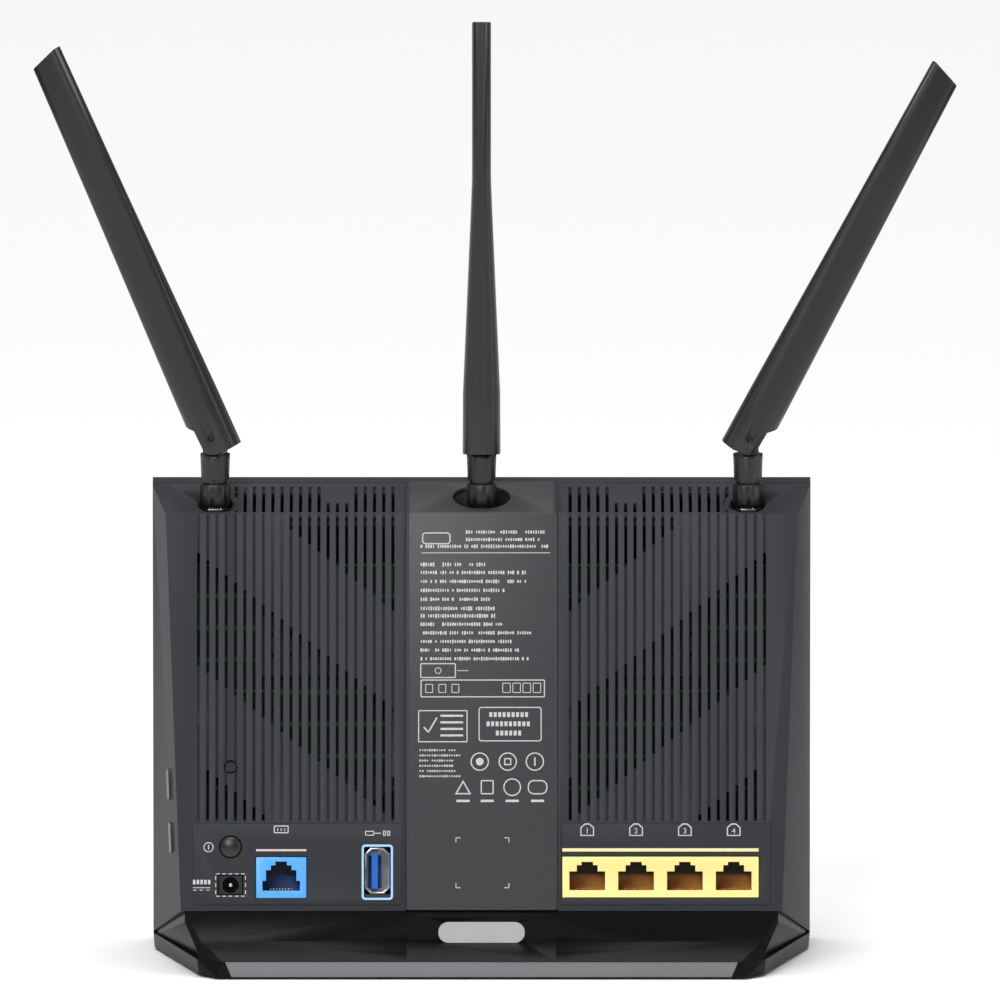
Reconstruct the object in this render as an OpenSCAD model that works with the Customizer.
// Upright wireless router with three hinged antennas.
// +Z is up, the ports face -Y, and the origin is on the table under the middle of the foot.

/* [Case] */
// Overall width of the case
case_w = 221.6; // [214:0.2:270]
// Height of the top front edge above the table
case_h = 160.4; // [150:0.2:200]
// Depth of the foot from front to back
foot_d = 83.3; // [80:0.1:100]
// How far the top front edge leans back from the foot's front
front_setback = 16.5; // [10:0.5:20]
// Depth of the sloping top
top_d = 31.05; // [31:0.05:36]
// Fall of the top from its front edge to its rear crease
top_drop = 7.8; // [5:0.1:9]
// Height of the rear panel's lower edge
panel_foot_h = 22; // [20:0.5:26]
// Distance from the foot's rear edge in to the rear panel's lower edge
panel_setback = 8.75; // [7:0.05:11]
// Wall thickness of the case shells
wall = 2.2; // [1.6:0.1:2.8]
// Angle by which the sides close in towards the rear
side_draft = 10.7; // [6:0.05:12]
// Where the sides start to close in, measured forward of the middle
side_draft_y = 19; // [14:0.5:22]
// Depth of the front cover's rim
front_rim = 5; // [5:0.5:8]
// Gap left where two shells meet
seam_gap = 0.3; // [0.1:0.05:0.5]

/* [Centre strip] */
// Width of the raised centre strip
strip_w = 51; // [46:0.5:54]
// Height of the strip above the surface round it
strip_rise = 0.8; // [0.4:0.1:1.2]
// Depth of the strip's seat
strip_sink = 0.8; // [0.4:0.1:1]
// Width of the strip's sloping edge
strip_edge = 1.2; // [0.6:0.1:1.6]

/* [Vents] */
// Distance between slots
slot_pitch = 3.11; // [2.8:0.01:4]
// Width of a slot
slot_w = 1; // [0.8:0.05:1.3]
// Distance from the strip's edge to the nearest slot
slot_inset = 4.3; // [3.5:0.1:6]
// Plain margin outside the last slot
slot_margin = 10.5; // [8:0.5:14]
// Height of a slotted band
band_h = 37.8; // [28:0.1:45]
// Plain height between two slotted bands
band_gap = 32.7; // [26:0.1:40]
// Slope of the bands
band_slope = 0.797; // [0.6:0.01:0.9]
// Distance from the rear crease to the middle band at its inner end
band_start = 65.1; // [55:0.1:75]
// Depth of the flute that runs down each column of slots
flute_depth = 0.6; // [0.3:0.1:0.8]
// Plain length of the top in front of its slots
top_slot_front = 7.8; // [6:0.1:10]
// Plain length of the top in front of its three short slots
top_slot_short = 19; // [16:0.5:22]
// Depth of the vent recess in the top, just behind the crease
top_recess = 2.8; // [1:0.1:3]
// Thickness of the lip between the vent recess and the rear panel
top_lip = 1.7; // [1.4:0.1:2.2]
// Width of the raised shoulder at each side of the top
shoulder_w = 6.4; // [5:0.1:8]

/* [Ports] */
// Height of the port band above the rear panel's lower edge
io_band = 30.3; // [28:0.1:34]
// How far the port plates stand proud
io_rise = 0.4; // [0.2:0.1:0.6]
// Distance of the DC inlet and the two round buttons from the case's side
power_inset = 26.5; // [25:0.1:32]
// Distance of the DSL jack from the case's side
dsl_inset = 43.5; // [42:0.1:50]
// Distance of the USB socket from the strip's edge
usb_inset = 9.5; // [8.5:0.1:12]
// Distance of the LAN block's centre from the strip's edge
lan_inset = 34.6; // [34.2:0.1:36]
// Centre heights above the panel's lower edge
dc_up = 8.7; // [8:0.1:10]
power_up = 21.5; // [20:0.1:24]
reset_up = 48.4; // [42:0.1:60]
dsl_up = 11.2; // [10:0.1:14]
usb_up = 13.5; // [12:0.1:16]
lan_up = 11.4; // [10:0.1:14]
// Clearance round each socket and button
port_gap = 0.25; // [0.15:0.05:0.4]
// Height of the sockets above the board
jack_depth = 14; // [13:0.5:15]

/* [Buttons] */
// Diameter of the power button
power_d = 7.3; // [6:0.1:9]
// Travel of the power button
power_travel = 2.5; // [1.5:0.1:3]
// Diameter of the reset hole
reset_d = 4.7; // [4:0.1:6]
// Travel of the reset button
reset_travel = 0.8; // [0.3:0.1:1]
// Length of the side buttons
side_button_l = 10; // [8:0.5:12]
// Width of the side buttons
side_button_w = 4; // [3:0.5:5]
// How far the side buttons stand proud
side_button_rise = 0.8; // [0.8:0.1:1.2]
// Travel of the side buttons
side_travel = 0.6; // [0.3:0.1:0.8]
// Heights of the two side buttons above the panel's lower edge
wps_up = 43; // [38:1:60]
wifi_up = 25; // [22:1:32]

/* [Antennas] */
// Distance of the outer antennas from the case's side
antenna_inset = 21.2; // [18:0.1:24]
// Where the antennas stand, forward of the middle
antenna_y = 6.5; // [6:0.1:8]
// Height of the hinge pin above the well's floor
pin_rise = 25.9; // [25.9:0.1:30]
// Depth of the antenna wells below the top surface
well_depth = 4.2; // [3.8:0.1:4.6]
// Radius of the wells round the outer antennas
well_r = 6; // [5.8:0.1:7]
// Radius of the well round the centre antenna
centre_well_r = 9.7; // [7:0.1:9.8]
// Diameter of the coupling nut
nut_d = 10.3; // [9.8:0.1:11]
// Diameter of the collar's top
collar_d = 10; // [9.4:0.1:11]
// Thickness of the collar's tongue along the pin
tongue_t = 8; // [5.5:0.1:8.2]
// Width of the tongue
tongue_w = 6.7; // [5:0.1:7]
// Diameter of the hinge pin
pin_d = 2; // [1.6:0.1:2.4]
// Blade length from the pin to the tip
blade_l = 141; // [110:1:180]
// Blade thickness at the hinge
blade_t = 12.8; // [12:0.1:15.4]
// Blade thickness from two thirds up
blade_tip_t = 6.4; // [5:0.1:8]
// Lean of the left antenna from upright
tilt_left = 24.3; // [0:0.1:60]
// Lean of the right antenna from upright
tilt_right = 28; // [0:0.1:60]
// Swivel of the left antenna from facing straight out
swivel_left = 12.5; // [0:0.5:45]
// Swivel of the right antenna from facing straight out
swivel_right = 3; // [0:0.5:45]

/* [Hidden] */
$fn = 48;

// Side profile of the case: y forward, z up
foot_lift = 0.9;
foot_top = 6.2;
case_bottom = 6.4;
front_y = foot_d / 2;
top_front_y = front_y - front_setback;
crease_y = top_front_y - top_d;
crease_z = case_h - top_drop;
panel_y = -front_y + panel_setback;
shelf_y = 18;
half_w = case_w / 2;
profile = [[front_y, case_bottom], [top_front_y, case_h], [crease_y, crease_z],
    [panel_y, panel_foot_h], [shelf_y, case_bottom]];
front_lean = atan(front_setback / (case_h - case_bottom));
lean = atan((crease_y - panel_y) / (crease_z - panel_foot_h));
panel_len = norm([crease_y - panel_y, crease_z - panel_foot_h]);
top_slope = atan(top_drop / top_d);
top_len = norm([top_d, top_drop]);
strip_end = top_len - front_rim - 0.6;
shelf_fall = (panel_foot_h - case_bottom) / (shelf_y - panel_y);
far = 400;

function half_width(y) = half_w - tan(side_draft) * max(0, side_draft_y - y);
function shelf_z(y) = panel_foot_h - shelf_fall * (y - panel_y);
function top_z(y) = crease_z + (y - crease_y) * top_drop / top_d;
function front_line(d, z) = front_y - (z - case_bottom) * tan(front_lean) - d / cos(front_lean);

// Plan of the case, run long at both ends so that the side profile trims it
plan_back = -70;
plan = [[-half_width(plan_back), plan_back], [half_width(plan_back), plan_back],
    [half_w, side_draft_y], [half_w, 70], [-half_w, 70], [-half_w, side_draft_y]];

// Polygon moved inwards by t, for points that run anticlockwise
function inset(p, t) = [for (i = [0 : len(p) - 1])
    let (a = p[(i + len(p) - 1) % len(p)], b = p[i], c = p[(i + 1) % len(p)],
        u = (b - a) / norm(b - a), v = (c - b) / norm(c - b),
        m = [-u[1], u[0]], n = [-v[1], v[0]])
    b + t * (m + n) / (1 + m * n)];

// Places on the rear panel: v runs down from the crease, w outwards
board_w = -jack_depth + 0.2;
board_t = 1.6;
board_face = board_w - board_t;
board_half = half_w - 13;
board_top = 16;
board_end = panel_len - 3.5;
field_v = panel_len - io_band;
io_v = field_v + 1;
power_x = -half_w + power_inset;
dsl_x = -half_w + dsl_inset;
usb_x = -strip_w / 2 - usb_inset;
lan_x = strip_w / 2 + lan_inset;
dc_v = panel_len - dc_up;
power_v = panel_len - power_up;
reset_v = panel_len - reset_up;
dsl_v = panel_len - dsl_up;
usb_v = panel_len - usb_up;
lan_v = panel_len - lan_up;
dsl_size = [16.9, 13.8];
usb_size = [8.3, 15.3];
port_pitch = 16.4;
lan_size = [4 * port_pitch + 0.3, 13.7];
dc_size = [8.1, 6.2];
dc_r = 2.75;
side_w = board_w + 2.2;
side_vs = [panel_len - wps_up, panel_len - wifi_up];

// Vent columns, as distances from the centre line
column_first = strip_w / 2 + slot_inset;
column_count = floor((half_width(crease_y) - slot_margin - column_first) / slot_pitch) + 1;
columns = [for (i = [0 : column_count - 1]) column_first + i * slot_pitch];
short_columns = [5, 7];
crease_margin = 1.2;
least_slot = 2;
function band_top(x, k) = band_start - band_slope * (x - column_first) + k * (band_h + band_gap);

// Screws: the board's stand under the centre strip and between two slotted bands
board_screw_at = [[strip_w / 2 - 5.5, board_top + 6], [strip_w / 2 - 5.5, field_v + 9],
    [board_half - 4.5, band_top(board_half - 4.5, 0) + band_h + band_gap / 2]];
board_screw_r = 1.2;
case_screw_r = 1.5;
case_screw_l = 18;
case_screw_at = [[half_w - 20, 22], [half_w - 32, -12]];
screw_fit = 0.05;

// Antennas: heights from the table, then sizes about the pin
antenna_x = half_w - antenna_inset;
well_z = top_z(antenna_y) - well_depth;
pin_z = well_z + pin_rise;
well_floor_t = 2.5;
nut_bottom = well_z + 1.8;
nut_top = nut_bottom + 8.2;
neck_z = nut_top + 0.2;
collar_z = nut_top + 1;
thread_r = 3.175;
thread_top = well_z + 6.1;
plug_r = 2.5;
run = 0.05;
hinge_gap = 0.2;
collar_drop = 6.1;
fold_r = 5.6;
slot_gap = 0.45;
blade_in = 7;
blade_out = 7.7;
blade_tip_in = 4.7;
blade_tip_out = 6.2;
antenna_places = [[-antenna_x, 180 - swivel_left, tilt_left], [0, 90, 0],
    [antenna_x, swivel_right, tilt_right]];

black = [0.16, 0.16, 0.17];
gloss_black = [0.05, 0.05, 0.05];
gold = [0.83, 0.66, 0.3];
steel = [0.75, 0.76, 0.78];

// ---- frames and shared shapes

module across(w) translate([-w / 2, 0, 0]) rotate([90, 0, 90]) linear_extrude(w) children();

module on_panel(x = 0, v = 0, w = 0) translate([0, crease_y, crease_z])
    rotate([90 - lean, 0, 0]) translate([x, -v, w]) children();

module on_top(x = 0, s = 0, w = 0) translate([0, crease_y, crease_z])
    rotate([top_slope, 0, 0]) translate([x, s, w]) children();

module on_front(x = 0, h = 0, w = 0) translate([0, front_y, case_bottom])
    rotate([0, 0, 180]) rotate([90 - front_lean, 0, 0]) translate([x, h, w]) children();

module both() {
    children();
    mirror([1, 0, 0]) children();
}

module block(size) translate([-size[0] / 2, -size[1] / 2, 0]) cube(size);

module hull_of(points) hull()
    polyhedron(points = points, faces = [[for (i = [0 : len(points) - 1]) i]]);

function mirrored(p) = concat(p, [for (q = p) [-q[0], q[1], q[2]]]);

module case_solid(t) intersection() {
    across(case_w + 20) polygon(inset(profile, t));
    translate([0, 0, -10]) linear_extrude(far) polygon(inset(plan, t));
}

// Everything between two distances behind the front face
module behind_front(near, deep) across(case_w + 40)
    polygon([[front_line(near, -20), -20], [front_line(near, far), far],
        [front_line(deep, far), far], [front_line(deep, -20), -20]]);

module rounded(size, r, h) linear_extrude(h) union() {
    square([size[0] - 2 * r, size[1]], center = true);
    square([size[0], size[1] - 2 * r], center = true);
    for (x = [-1, 1], y = [-1, 1])
        translate([x * (size[0] / 2 - r), y * (size[1] / 2 - r)]) circle(r);
}

// ---- case shells

// Side outline that holds the rear panel and the top as far as s from the crease, above z
function strip_reach(s, z) = let (t = [cos(top_slope), sin(top_slope)], n = [-t[1], t[0]],
    e = [crease_y, crease_z] + s * t)
    [e - 12 * n, e + 20 * n, [-far, e[1] + 20], [-far, z], [panel_y + 20, z]];

module strip_seat() across(strip_w + 0.1) difference() {
    polygon(strip_reach(strip_end + 0.1, panel_foot_h - 1));
    polygon(inset(profile, strip_sink));
}

module column_slots(x) {
    for (k = [-1 : 1]) {
        a = max(crease_margin, band_top(x, k));
        b = min(field_v, band_top(x, k) + band_h);
        if (b - a > least_slot && !(k == 1 && x > columns[column_count - 1] - 1))
            on_panel(x, b, -wall - 1) translate([-slot_w / 2, 0, 0]) cube([slot_w, b - a, wall + 2]);
    }
    on_panel(x, field_v) rotate([-90, 0, 0]) linear_extrude(field_v + 2)
        polygon([[-flute_depth - 0.1, -0.1], [flute_depth + 0.1, -0.1], [0, flute_depth]]);
}

module top_slots() for (i = [0 : column_count - 1])
    if (columns[i] + slot_w / 2 < antenna_x - well_r - 0.2) {
        front = i >= short_columns[0] && i <= short_columns[1] ? top_slot_short : top_slot_front;
        on_top(columns[i], top_lip + 0.4, -wall - top_recess - 1)
            translate([-slot_w / 2 - 0.05, 0, 0])
            cube([slot_w + 0.1, top_len - front - top_lip - 0.4, wall + top_recess + 3]);
    }

// Vent recess in the top, between the shoulders and the strip, grown by t on its lower sides
module top_vent_recess(t = 0) difference() {
    near = crease_y + top_lip;
    end = top_front_y - front_rim - 0.8;
    intersection() {
        across(case_w) polygon([[near - t, case_h + 6], [near - t, top_z(near) - top_recess - t * 1.05],
            [near, top_z(near) - top_recess - t * 1.05], [end, top_z(end) - t * 1.05],
            [end, case_h + 6]]);
        linear_extrude(far) polygon(inset(plan, shoulder_w - t));
    }
    translate([0, 0, far / 2]) cube([strip_w + 1.2 - 2 * t, far, far], center = true);
}

module well(i, grow, z) translate([antenna_places[i][0], antenna_y, z])
    cylinder(r = (i == 1 ? centre_well_r : well_r) + grow, h = 30);

module port_cuts() {
    on_panel(power_x, power_v, -6) cylinder(d = power_d + 2 * port_gap, h = 12);
    on_panel(power_x, reset_v, -6) cylinder(d = reset_d, h = 12);
    on_panel(power_x, dc_v, -4) block([dc_size[0] + 2 * port_gap, dc_size[1] + 2 * port_gap, 8]);
    on_panel(dsl_x, dsl_v, -4) block([dsl_size[0] + 2 * port_gap, dsl_size[1] + 2 * port_gap, 8]);
    on_panel(usb_x, usb_v, -4) block([usb_size[0] + 2 * port_gap, usb_size[1] + 2 * port_gap, 8]);
    on_panel(lan_x, lan_v, -4) block([lan_size[0] + 2 * port_gap, lan_size[1] + 2 * port_gap, 8]);
}

module io_plates() {
    plate_h = panel_len - 2.1 - io_v;
    inner = strip_w / 2 + 1.5;
    outer = half_width(panel_y) - 4;
    for (s = [-1, 1])
        on_panel(s * (inner + outer) / 2, io_v + plate_h / 2, -0.5)
            block([outer - inner, plate_h, 0.5 + io_rise]);
}

module side_button_hole(v) on_panel(-half_w + 4, v, side_w) rotate([0, 90, 0])
    translate([0, 0, -20]) rotate([0, 0, 90])
        rounded([side_button_l + 2 * port_gap, side_button_w + 2 * port_gap], 1.2, 28);

module at_board_screws(deep = 0) for (s = [-1, 1], p = board_screw_at)
    on_panel(s * p[0], p[1], board_w - deep) children();

module at_case_screws(z) for (s = [-1, 1], p = case_screw_at)
    translate([s * p[0], p[1], z]) children();

module rear_shell() difference() {
    intersection() {
        case_solid(0);
        behind_front(front_rim, 200);
    }
    difference() {
        case_solid(wall);
        top_vent_recess(wall);
    }
    both() for (x = columns) column_slots(x);
    both() top_slots();
}

module rim_lip() {
    intersection() {
        difference() {
            case_solid(wall - 0.4);
            case_solid(wall + 1.3);
        }
        behind_front(front_rim + 0.3, front_rim + 4);
    }
    intersection() {
        difference() {
            case_solid(wall + 0.15);
            case_solid(wall + 1.3);
        }
        behind_front(max(front_rim - 2.5, wall + 1.4), front_rim + 0.4);
    }
}

module rear_cover() color(black) difference() {
    union() {
        rear_shell();
        rim_lip();
        io_plates();
        intersection() {
            union() {
                for (i = [0 : 2]) well(i, 2.2, well_z - well_floor_t);
                at_board_screws() cylinder(r = 2.9, h = -board_w - 0.4);
                at_case_screws(case_bottom) cylinder(r = 3.3, h = case_screw_l - 3);
            }
            case_solid(0.4);
            union() {
                behind_front(front_rim, 200);
                case_solid(wall + 0.15);
            }
        }
    }
    top_vent_recess();
    for (i = [0 : 2]) well(i, 0, well_z);
    for (i = [0 : 2]) translate([antenna_places[i][0], antenna_y, well_z - 5])
        cylinder(r = thread_r + 0.1, h = 10);
    strip_seat();
    port_cuts();
    for (v = side_vs) side_button_hole(v);
    at_board_screws(1) cylinder(r = board_screw_r + screw_fit, h = 10);
    at_case_screws(0) cylinder(r = case_screw_r + screw_fit, h = case_screw_l + 2.5);
}

module front_panel(grow, depth) both()
    on_front(-half_w / 2 - 1.6, (case_h - case_bottom) / 2 + 5, -depth)
        rounded([half_w - 9 + 2 * grow, case_h - case_bottom - 16 + 2 * grow], 3 + grow, depth + 4);

module light_bar(grow, depth) on_front(0, 9, -depth)
    rounded([64 + 2 * grow, 3.4 + 2 * grow], 1.2, depth + 2);

module front_cover() color(black) difference() {
    intersection() {
        case_solid(0);
        behind_front(-10, front_rim - seam_gap);
    }
    case_solid(wall);
    front_panel(0.1, 1.2);
    light_bar(0.1, 8);
}

module front_fascia() color([0.1, 0.1, 0.11]) intersection() {
    front_panel(0, 1.1);
    case_solid(0);
}

module light_guide() color([0.9, 0.92, 0.95]) intersection() {
    union() {
        light_bar(0, 4.4);
        for (i = [-4 : 4]) on_front(i * 7, 9, -6.4) rounded([3, 2.4], 0.8, 3);
        on_front(0, 9, -wall - 2) rounded([70, 7], 1, 1.8);
    }
    case_solid(0);
}

module rear_centre_panel() color(black) difference() {
    intersection() {
        hull() {
            across(strip_w) polygon(profile);
            across(strip_w - 2 * strip_edge) polygon(inset(profile, -strip_rise));
        }
        across(strip_w + 2) polygon(strip_reach(strip_end, panel_foot_h + 0.4));
    }
    across(strip_w + 8) polygon(inset(profile, strip_sink));
    well(1, 0, well_z - 1);
}

module name_badge() color(steel) translate([0, panel_y + 1.05, 14.6])
    rotate([90 - 5, 0, 0]) difference() {
        rounded([29, 7], 3.4, 1.1);
        translate([0, 0, 0.9]) rounded([27, 5], 2.4, 1);
    }

// ---- foot

rear_in = 15.3;
trim_in = 23.8;
foot_plan = [[half_w, front_y], [half_w, 16], [half_w - rear_in, -front_y + 5],
    [half_w - trim_in, -front_y]];
foot_base = [[half_w - 0.4, front_y - 0.9], [half_w - 0.4, 18], [half_w - 15.8, -front_y + 6.5],
    [half_w - trim_in + 2, -front_y]];

function at_height(p, z) = [for (q = p) [q[0], q[1], z]];

module stand_solid() {
    hull_of(mirrored(concat(at_height(foot_plan, foot_top), at_height(foot_base, foot_lift))));
    hull_of(mirrored([[half_w - 11.1, panel_y + 0.6, shelf_z(panel_y + 0.6) - 0.15],
        [half_w - 11.1, panel_y + 0.7, 18], [half_w - 16.6, panel_y + 1, 11.5],
        [half_w - 16.6, panel_y + 1, 5], [half_w - 1.5, 14, shelf_z(14) - 0.15],
        [half_w - 1.5, 14, foot_top - 0.2], [half_w - 10, 14, 5]]));
    hull_of(mirrored([[half_w - 16.6, panel_y + 1, 11.5], [half_w - trim_in, -front_y, foot_top],
        [half_w - rear_in, -front_y + 5, foot_top - 0.1], [half_w - 16.6, -20, 5],
        [half_w - 16.6, -20, 11]]));
    // centre band, raised to carry on the line of the strip above it
    hull_of(mirrored([[strip_w / 2 - 0.6, -front_y, foot_top], [strip_w / 2 - 0.6, panel_y + 0.6, 11.9],
        [strip_w / 2, panel_y + 1.1, 11.5], [strip_w / 2, -front_y + 0.3, foot_top - 0.1],
        [strip_w / 2, panel_y + 3, 6]]));
    hull_of(mirrored([[strip_w / 2 - 0.6, panel_y + 0.55, 11.9], [strip_w / 2 - 0.6, panel_y + 0.2, 21.4],
        [strip_w / 2, panel_y + 0.8, 21.3], [strip_w / 2, panel_y + 1.1, 11.5],
        [strip_w / 2, panel_y + 3, 20], [strip_w / 2, panel_y + 3, 11]]));
}

module stand_cover_plate(in, z, h) translate([0, 0, z]) linear_extrude(h)
    polygon(inset([[half_w - trim_in, -front_y], [half_w - rear_in, -front_y + 5], [half_w, 14],
        [half_w, front_y], [-half_w, front_y], [-half_w, 14], [rear_in - half_w, -front_y + 5],
        [trim_in - half_w, -front_y]], in));

foot_pads = [[half_w - 50, front_y - 11], [half_w - 50, -front_y + 11]];

module pads(grow, z, h) {
    for (s = [-1, 1], p = foot_pads)
        translate([s * p[0], p[1], z]) rounded([34 + 2 * grow, 8 + 2 * grow], 3, h);
    translate([0, 0, z]) cylinder(r = 6 + grow, h = h);
}

module trim_bar(grow) hull_of(mirrored([
    [half_w - trim_in - 0.8 + grow, -front_y, foot_top - 0.1], [half_w - trim_in - 3 + grow, -front_y, foot_lift],
    [half_w - trim_in - 0.8 + grow, -front_y + 1.2 + grow, foot_top - 0.1],
    [half_w - trim_in - 3 + grow, -front_y + 1.2 + grow, foot_lift]]));

module stand_base() color(gloss_black) difference() {
    union() {
        difference() {
            stand_solid();
            stand_cover_plate(7, 1, 3.6);
            hull_of(mirrored([[half_w - 24, panel_y + 4, 3], [half_w - 20, panel_y + 4, 17.6],
                [half_w - 14, -2, shelf_z(-2) - 2.4], [half_w - 14, -2, 3]]));
        }
        intersection() {
            at_case_screws(foot_lift) cylinder(r = 4.2, h = 30);
            stand_solid();
        }
    }
    stand_cover_plate(4.9, 0, foot_lift + 1.6);
    trim_bar(0.05);
    at_case_screws(0) cylinder(r = case_screw_r + 0.2, h = 40);
    name_badge_seat();
}

module name_badge_seat() translate([0, panel_y + 1.05, 14.6]) rotate([90 - 5, 0, 0])
    rounded([29.1, 7.1], 3.45, 3);

module stand_bottom_cover() color([0.12, 0.12, 0.13]) difference() {
    stand_cover_plate(5, foot_lift, 1.6);
    pads(0.1, 0, foot_lift + 1);
    at_case_screws(0) {
        cylinder(r = case_screw_r + 0.2, h = 5);
        cylinder(r = 3.1, h = foot_lift + 1);
    }
}

module stand_rear_trim() color([0.55, 0.56, 0.57]) trim_bar(0);

module rubber_feet() color([0.1, 0.1, 0.1]) pads(0, 0, foot_lift + 1);

module cross_screw(r, head_r, head_h, l) difference() {
    union() {
        cylinder(r = head_r, h = head_h);
        translate([0, 0, head_h]) cylinder(r = r, h = l);
    }
    for (a = [0, 90]) rotate([0, 0, a]) block([head_r * 1.1, head_r * 0.24, head_h * 0.6]);
}

module case_screws() color(steel) at_case_screws(foot_lift + 0.05)
    cross_screw(case_screw_r, 2.8, 0.95, case_screw_l);

// ---- buttons and switches

module power_button() color(black) on_panel(power_x, power_v) {
    translate([0, 0, -3.4]) cylinder(d = power_d, h = 3.4);
    intersection() {
        translate([0, 0, -5.6]) sphere(r = 6.7, $fn = 64);
        translate([0, 0, -1]) cylinder(d = power_d, h = 4);
    }
    translate([0, 0, -3.4]) cylinder(d = power_d + 1.6, h = 0.9);
    translate([0, 0, board_w + 5.4 + power_travel]) cylinder(r = 1.6, h = -board_w - 8);
}

module reset_button() color([0.2, 0.2, 0.21]) on_panel(power_x, reset_v) {
    translate([0, 0, -2.6]) cylinder(d = reset_d - 1.2, h = 1.6);
    translate([0, 0, -3.8]) cylinder(d = reset_d + 1, h = 1.3);
    translate([0, 0, board_w + 4.3 + reset_travel]) cylinder(r = 1.2, h = -board_w - 7.5);
}

module side_button(v) color(black) {
    intersection() {
        on_panel(-half_w + 4, v, side_w) rotate([0, 90, 0]) translate([0, 0, -20])
            rotate([0, 0, 90]) rounded([side_button_l, side_button_w], 1, 28);
        case_solid(-side_button_rise);
        difference() {
            case_solid(-side_button_rise);
            case_solid(wall + 1);
        }
    }
    intersection() {
        on_panel(-half_w + 4, v, side_w) rotate([0, 90, 0]) translate([0, 0, -20])
            rotate([0, 0, 90]) rounded([side_button_l + 3, side_button_w + 1.4], 1, 28);
        difference() {
            case_solid(wall + 0.15);
            case_solid(wall + 1.1);
        }
    }
    on_panel(-board_half - 0.2 - side_travel, v, side_w) rotate([0, -90, 0])
        cylinder(r = 1, h = half_width(side_y(v)) - wall - 0.6 - board_half - 0.2 - side_travel);
}

function side_y(v) = crease_y - sin(lean) * v - cos(lean) * side_w;

module wps_button() side_button(side_vs[0]);

module wifi_button() side_button(side_vs[1]);

module power_switch() color([0.1, 0.1, 0.1]) on_panel(power_x, power_v, board_w) {
    block([7, 7, 4.6]);
    cylinder(r = 1.2, h = 5.2);
}

module tact_switches() {
    color([0.15, 0.15, 0.15]) on_panel(power_x, reset_v, board_w) {
        block([6, 6, 3.4]);
        cylinder(r = 1.7, h = 4.1);
    }
    color([0.15, 0.15, 0.15]) for (v = side_vs)
        on_panel(-board_half + 1.9, v, board_w) {
            block([3, 7, 4.2]);
            translate([-1.4, 0, side_w - board_w]) rotate([0, -90, 0]) cylinder(r = 1.1, h = 0.5);
        }
}

// ---- sockets

module dc_jack() color([0.08, 0.08, 0.08]) on_panel(power_x, dc_v) difference() {
    translate([0, 0, board_w]) block([dc_size[0], dc_size[1], jack_depth - 0.3]);
    translate([0, 0, -9.5]) cylinder(r = dc_r, h = 12);
}

module dc_jack_pin() color(steel) on_panel(power_x, dc_v, -9.5) {
    cylinder(r = 1, h = 7.6);
    translate([0, 0, 7.6]) sphere(r = 1);
}

// Outline of a modular socket's mouth, centred, with its latch notch up
module plug_mouth(w) {
    translate([-w / 2, -4.4]) square([w, 6.3]);
    translate([-w * 0.29, 1.8]) square([w * 0.58, 2.2]);
    translate([-w * 0.16, 3.9]) square([w * 0.32, 1.2]);
}

module socket_mouth(w, deep) translate([0, 0, jack_depth - deep]) linear_extrude(deep + 1)
    plug_mouth(w);

module lan_jack() color([0.95, 0.9, 0.35]) on_panel(lan_x, lan_v, board_w) difference() {
    block([lan_size[0], lan_size[1], jack_depth]);
    for (i = [0 : 3]) translate([(i - 1.5) * port_pitch, 0, 0]) {
        socket_mouth(12, 12);
        for (k = [-3.5 : 3.5]) translate([k * 1.02 - 0.25, -4.8, 1.9]) cube([0.5, 2, 9]);
    }
}

module socket_wires() for (k = [-3.5 : 3.5]) translate([k * 1.02, -4.75, 2])
    rotate([-6, 0, 0]) translate([-0.15, 0, 0]) cube([0.3, 0.35, 8.2]);

module lan_contacts() color(gold) on_panel(lan_x, lan_v, board_w)
    for (i = [0 : 3]) translate([(i - 1.5) * port_pitch, 0, 0]) socket_wires();

module dsl_jack() color([0.35, 0.65, 0.95]) on_panel(dsl_x, dsl_v, board_w) difference() {
    block([dsl_size[0], dsl_size[1], jack_depth]);
    translate([0, 0, jack_depth - 12]) linear_extrude(13) union() {
        translate([-6.3, -4.4]) square([12.6, 3.3]);
        translate([-5.1, -4.4]) square([10.2, 6.9]);
        translate([-3.45, 2.4]) square([6.9, 1.7]);
        translate([-1.9, 4]) square([3.8, 1.4]);
    }
    for (k = [-3.5 : 3.5]) translate([k * 1.02 - 0.25, -4.8, 1.9]) cube([0.5, 2, 9]);
}

module dsl_contacts() color(gold) on_panel(dsl_x, dsl_v, board_w) socket_wires();

module usb_outline(grow) {
    w = usb_size[0] / 2 - grow;
    h = usb_size[1] / 2 - grow;
    c = 1.9;
    polygon([[-w, -h + c], [-w + c, -h], [w - c, -h], [w, -h + c], [w, h - c], [w - c, h],
        [-w + c, h], [-w, h - c]]);
}

module usb_shell() color(steel) on_panel(usb_x, usb_v, board_w) difference() {
    linear_extrude(jack_depth) usb_outline(0);
    translate([0, 0, 0.8]) linear_extrude(jack_depth) usb_outline(0.45);
    for (s = [-1, 1]) translate([-usb_size[0] / 2 - 1, s * 0.1 - 0.75, jack_depth - 5])
        cube([2, 1.3, 6]);
}

module usb_tongue() color([0.1, 0.4, 0.85]) on_panel(usb_x - 0.9, usb_v, board_w + 0.8) {
    block([2, 12, jack_depth - 2.4]);
    block([4.4, 11, 1.6]);
}

module usb_contacts() color(gold) on_panel(usb_x + 0.1, usb_v, board_w + 3)
    for (k = [-2 : 2]) translate([0, k * 2.2 - 0.4, 0]) cube([0.15, 0.8, jack_depth - 6]);

// ---- boards and what stands on them

module board_plate(w, top, end, t) translate([-w / 2, -end, 0]) cube([w, end - top, t]);

module main_board() color([0.05, 0.3, 0.15]) on_panel(0, 0, board_face) difference() {
    board_plate(2 * board_half, board_top, board_end, board_t);
    for (s = [-1, 1], p = board_screw_at) translate([s * p[0], -p[1], -1])
        cylinder(r = 1.6, h = 4);
}

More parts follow.
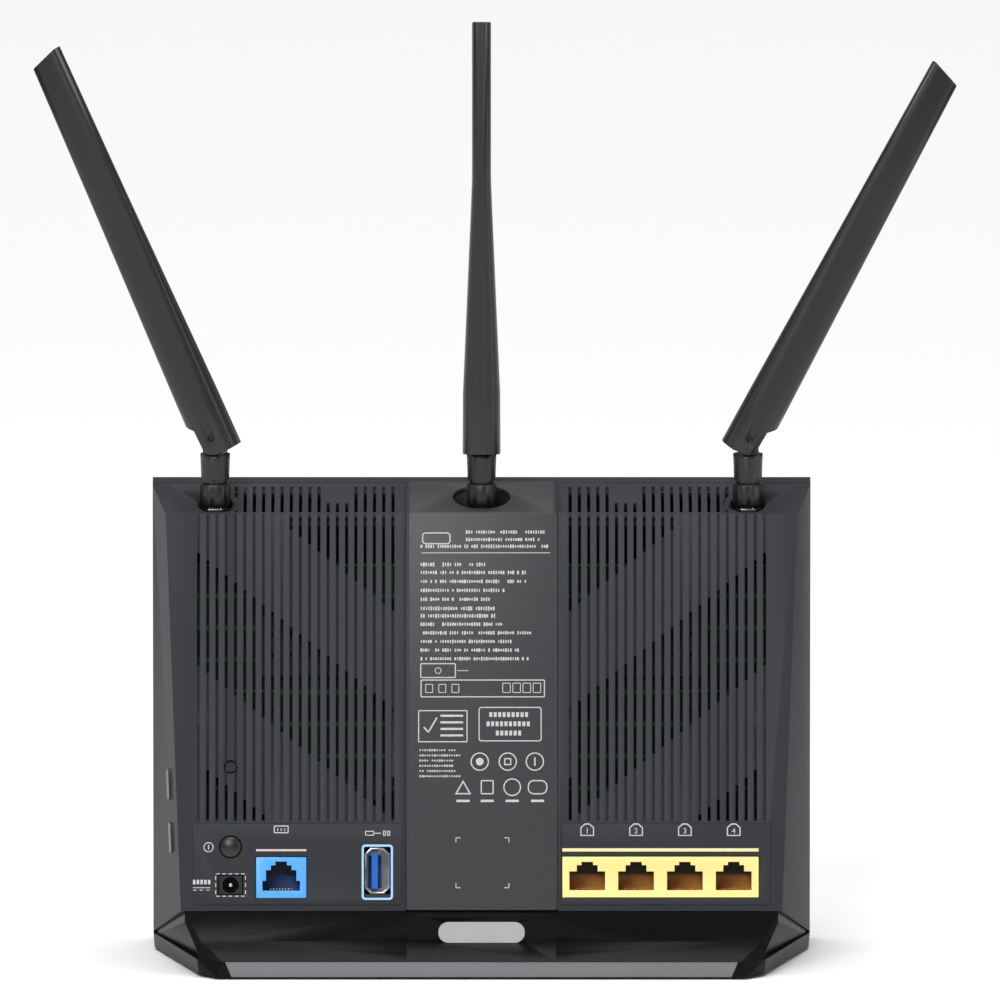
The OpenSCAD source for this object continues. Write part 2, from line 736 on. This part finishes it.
module board_screws() color(steel) at_board_screws(board_t + 1.6)
    cross_screw(board_screw_r, 2.6, 1.6, 9.6);

module finned(w, l, base, fins, n) {
    translate([-w / 2, -l / 2, 0]) cube([w, l, base]);
    for (i = [0 : n - 1])
        translate([-w / 2 + i * (w - 1.2) / (n - 1), -l / 2, base - 0.1]) cube([1.2, l, fins + 0.1]);
}

chip_v = board_top + 50;

module heatsink_front() color([0.7, 0.7, 0.72]) on_panel(0, chip_v, board_face - 1.8)
    rotate([0, 180, 0]) finned(80, 56, 2.4, 9, 15);

module processor() color([0.1, 0.1, 0.1]) on_panel(0, chip_v, board_face - 1.8)
    block([23, 23, 1.8]);

module memory_chips() color([0.12, 0.12, 0.12]) for (x = [-30, 18])
    on_panel(x, chip_v + 36, board_face - 1.1) block([14, 9, 1.1]);

module heatsink_rear() color([0.7, 0.7, 0.72]) on_panel(0, chip_v, board_w)
    finned(64, 44, 1.6, 5.5, 13);

module radio_shields() color(steel) for (s = [-1, 1])
    on_panel(s * (half_w - 52), board_top + 24, board_w) difference() {
        block([34, 28, 3.2]);
        translate([0, 0, -0.4]) block([33.4, 27.4, 3.3]);
        for (i = [-2 : 2], j = [-1 : 1]) translate([i * 6, j * 7, 0]) cylinder(r = 1, h = 5);
    }

module lan_transformers() color([0.1, 0.1, 0.1]) for (s = [-1, 1])
    on_panel(lan_x + s * 16, lan_v - 16, board_w) block([24, 12, 5.6]);

module capacitors() color([0.2, 0.2, 0.35]) for (i = [0 : 3])
    on_panel(power_x + 18 + i * 10, io_v - 12, board_w) {
        block([8.4, 8.4, 0.6]);
        translate([0, 0, 0.6]) cylinder(d = 8, h = 8.4);
    }

led_w = -wall - 4.6;
led_mid = wall + 10.8;

module led_board() color([0.05, 0.3, 0.15]) on_front(0, led_mid, led_w - 1.2) difference() {
    block([78, 16, 1.2]);
    for (s = [-1, 1]) translate([s * 35, 4, -1]) cylinder(r = 1.2, h = 4);
}

module status_leds() color([0.9, 0.95, 1]) for (i = [-4 : 4])
    on_front(i * 7, 9, led_w) block([1.6, 0.9, 0.35]);

function panel_yz(v, w) = [crease_y - sin(lean) * v - cos(lean) * w,
    crease_z - cos(lean) * v + sin(lean) * w];
function front_yz(h, w) = [front_y - sin(front_lean) * h + cos(front_lean) * w,
    case_bottom + cos(front_lean) * h + sin(front_lean) * w];

function bezier(a, b, c, d, t) = (1 - t) ^ 3 * a + 3 * (1 - t) ^ 2 * t * b
    + 3 * (1 - t) * t ^ 2 * c + t ^ 3 * d;

// Flat cable between a header on the main board and one on the LED board
module led_cable() color([0.85, 0.85, 0.8]) {
    a = panel_yz(board_end - 12, board_face - 1);
    d = front_yz(led_mid + 3, led_w - 2.2);
    route = [for (i = [0 : 16]) bezier(a, a + [22, 0], d - [18, 0], d, i / 16)];
    side = [for (i = [0 : 16]) route[i] + [0, 0.5]];
    translate([24, 0, 0]) across(12)
        polygon(concat(route, [for (i = [16 : -1 : 0]) side[i]]));
    on_panel(24, board_end - 12, board_face - 2.4) block([15, 4, 2.4]);
    on_front(-24, led_mid + 3, led_w - 3.6) block([15, 4, 2.4]);
}

// ---- antennas

module at_antennas(z) for (p = antenna_places) translate([p[0], antenna_y, z]) children();

module antenna_jacks() color(gold) at_antennas(well_z) difference() {
    union() {
        translate([0, 0, -well_floor_t - 2]) cylinder(r = 4.6, h = 2);
        translate([0, 0, -well_floor_t - 0.1]) cylinder(r = thread_r, h = 8.6 + 0.1);
        translate([0, 0, -well_floor_t - 7]) cylinder(r = 1.9, h = 6);
    }
    difference() {
        translate([0, 0, 1.2]) cylinder(r = 2.3, h = 8);
        cylinder(r = 0.5, h = 5.6);
    }
}

module jack_nuts() color(gold) at_antennas(well_z) difference() {
    cylinder(r = 4.8, h = 1.5, $fn = 6);
    translate([0, 0, -1]) cylinder(r = thread_r + 0.02, h = 4);
}

module antenna_plugs() color(gold) at_antennas(thread_top + 0.05) {
    cylinder(r = 3.8, h = 1.3);
    cylinder(r = plug_r, h = 9.4);
}

// Round cable through a list of points in the plane x = 0
module tube(route, r) {
    n = len(route);
    sides = 8;
    rings = [for (i = [0 : n - 1]) let (d = route[min(i + 1, n - 1)] - route[max(i - 1, 0)],
        u = d / norm(d)) for (k = [0 : sides - 1]) let (a = 360 * k / sides)
        [r * cos(a), route[i][0] - r * sin(a) * u[1], route[i][1] + r * sin(a) * u[0]]];
    polyhedron(points = rings, faces = concat(
        [[for (k = [sides - 1 : -1 : 0]) k]],
        [for (i = [0 : n - 2], k = [0 : sides - 1]) let (m = (k + 1) % sides)
            [i * sides + k, i * sides + m, (i + 1) * sides + m, (i + 1) * sides + k]],
        [[for (k = [0 : sides - 1]) (n - 1) * sides + k]]));
}

pigtail_v = board_top + 6;

module antenna_pigtails() color([0.15, 0.15, 0.16]) for (p = antenna_places)
    translate([p[0], 0, 0]) {
        a = [antenna_y, well_z - well_floor_t - 7];
        d = panel_yz(pigtail_v, board_face - 1.2);
        tube([for (i = [0 : 12]) bezier(a, a - [0, 7], d + [5, 2], d, i / 12)], 0.65);
        on_panel(0, pigtail_v, board_face - 1.9) cylinder(r = 1.4, h = 1.9);
    }

module coupling_nut(i) color([0.25, 0.25, 0.26])
    translate([antenna_places[i][0], antenna_y, nut_bottom]) difference() {
        intersection() {
            rotate_extrude() polygon([[0, 0], [nut_d / 2 - 1, 0], [nut_d / 2 - 0.3, 0.5],
                [nut_d / 2, 1.4], [nut_d / 2, nut_top - nut_bottom - 1],
                [nut_d / 2 - 0.5, nut_top - nut_bottom - 0.2], [nut_d / 2 - 1, nut_top - nut_bottom],
                [0, nut_top - nut_bottom]]);
            difference() {
                cylinder(d = nut_d, h = 10);
                for (a = [30 : 60 : 330]) rotate([0, 0, a + antenna_places[i][1]])
                    translate([nut_d / 2 + 1.9, 0, -1]) cylinder(r = 2.35, h = 12);
            }
        }
        translate([0, 0, -1]) cylinder(r = thread_r + 0.1, h = thread_top - nut_bottom + 1);
        translate([0, 0, thread_top - nut_bottom - 0.2]) cylinder(r = 3.95, h = 1.8);
        cylinder(r = plug_r + 0.15, h = 12);
    }

module collar(i) color(black) translate([antenna_places[i][0], antenna_y, 0])
    rotate([0, 0, antenna_places[i][1]]) difference() {
        union() {
            translate([0, 0, neck_z]) cylinder(r = 4, h = 2);
            translate([0, 0, collar_z]) cylinder(d1 = collar_d - 0.6, d2 = collar_d,
                h = pin_z - collar_drop - collar_z);
            translate([0, 0, pin_z - collar_drop - 0.5])
                block([tongue_w, tongue_t, collar_drop + 0.5]);
            translate([0, tongue_t / 2, pin_z]) rotate([90, 0, 0])
                cylinder(d = tongue_w, h = tongue_t);
        }
        translate([0, 0, neck_z - 1]) cylinder(r = plug_r + run, h = thread_top + 9.7 - neck_z + 1);
        translate([0, 10, pin_z]) rotate([90, 0, 0]) cylinder(d = pin_d + 2 * run, h = 20);
    }

// Blade in its own frame: pin along y, tip up, folding towards +x
function ease(a, b, t) = a + (b - a) * min(1, max(0, t));
blade_rings = [for (f = [-0.07, 0.1, 0.2, 0.32, 0.44, 0.55, 0.62, 1.02]) f * blade_l];
blade_sides = 32;
function blade_thick(u) = ease(blade_t, blade_tip_t, (u - 0.08 * blade_l) / (0.53 * blade_l));
function blade_ring(u) = let (t = u / blade_l, lo = ease(-blade_in, -blade_tip_in, t),
    hi = ease(blade_out, blade_tip_out, t), e = 2 / ease(2.7, 3.8, t), c = (lo + hi) / 2,
    a = (hi - lo) / 2, b = blade_thick(u) / 2)
    [for (k = [0 : blade_sides - 1]) let (q = 360 * k / blade_sides, x = cos(q), y = sin(q))
        [c + a * sign(x) * pow(abs(x), e), b * sign(y) * pow(abs(y), e), u]];

module blade_form() {
    m = blade_sides;
    n = len(blade_rings);
    polyhedron(points = [for (u = blade_rings) each blade_ring(u)], faces = concat(
        [[for (k = [0 : m - 1]) k]],
        [for (i = [0 : n - 2], k = [0 : m - 1]) let (q = (k + 1) % m)
            [i * m + k, (i + 1) * m + k, (i + 1) * m + q, i * m + q]],
        [[for (k = [m - 1 : -1 : 0]) (n - 1) * m + k]]));
}

// Outline seen along the pin
module blade_outline() polygon(concat([[-blade_in - 1, -5.3], [-2.65, -5.9]],
    [for (a = [-100 : 12 : -40]) [fold_r * cos(a), fold_r * sin(a)]],
    [[4.6, 4.4], [blade_out, blade_out - 0.6], [blade_out + 1, blade_out + 0.4],
        [blade_out + 1, blade_l - 4.5], [1.3 - blade_tip_in, blade_l], [-blade_in - 1, blade_l]]));

module blade_solid() difference() {
    intersection() {
        blade_form();
        translate([0, 20, 0]) rotate([90, 0, 0]) linear_extrude(40) blade_outline();
    }
    translate([-tongue_w / 2 - slot_gap, -tongue_t / 2 - hinge_gap, -20])
        cube([30, tongue_t + 2 * hinge_gap, 20 + tongue_w / 2 + 0.9]);
    translate([0, 20, 0]) rotate([90, 0, 0]) cylinder(d = pin_d, h = 40);
    for (s = [-1, 1]) translate([0, s * 5.3 + (s > 0 ? 20 : 0), 0])
        rotate([90, 0, 0]) cylinder(d = pin_d + 0.5, h = 20);
    translate([-0.8 - 2.4, -0.4, 0.1 * blade_l]) cube([4.8, 1.6, 0.76 * blade_l]);
}

module in_hinge(i) translate([antenna_places[i][0], antenna_y, pin_z])
    rotate([0, 0, antenna_places[i][1]]) rotate([0, antenna_places[i][2], 0]) children();

module blade_half(i, s) color(black) in_hinge(i) intersection() {
    blade_solid();
    translate([-50, s > 0 ? 0 : -50, -50]) cube([100, 50, blade_l + 100]);
}

module hinge_pin(i) color(steel) in_hinge(i) translate([0, 5.3, 0]) rotate([90, 0, 0])
    cylinder(d = pin_d, h = 10.6);

module radiator(i) color([0.1, 0.35, 0.2]) in_hinge(i)
    translate([-0.8 - 2.2, -0.4, 0.12 * blade_l]) cube([4.4, 0.8, 0.72 * blade_l]);

rear_cover();
front_cover();
front_fascia();
rear_centre_panel();
stand_base();
stand_bottom_cover();
stand_rear_trim();
name_badge();
light_guide();
rubber_feet();
case_screws();
power_button();
reset_button();
wps_button();
wifi_button();
power_switch();
tact_switches();
dc_jack();
dc_jack_pin();
dsl_jack();
dsl_contacts();
lan_jack();
lan_contacts();
usb_shell();
usb_tongue();
usb_contacts();
main_board();
heatsink_front();
heatsink_rear();
processor();
radio_shields();
memory_chips();
lan_transformers();
capacitors();
board_screws();
led_board();
status_leds();
led_cable();
antenna_jacks();
jack_nuts();
antenna_pigtails();
antenna_plugs();
coupling_nut(0);  // left_nut
collar(0);  // left_collar
hinge_pin(0);  // left_pin
blade_half(0, 1);  // left_blade_rear
blade_half(0, -1);  // left_blade_front
radiator(0);  // left_radiator
coupling_nut(1);  // centre_nut
collar(1);  // centre_collar
hinge_pin(1);  // centre_pin
blade_half(1, -1);  // centre_blade_rear
blade_half(1, 1);  // centre_blade_front
radiator(1);  // centre_radiator
coupling_nut(2);  // right_nut
collar(2);  // right_collar
hinge_pin(2);  // right_pin
blade_half(2, -1);  // right_blade_rear
blade_half(2, 1);  // right_blade_front
radiator(2);  // right_radiator
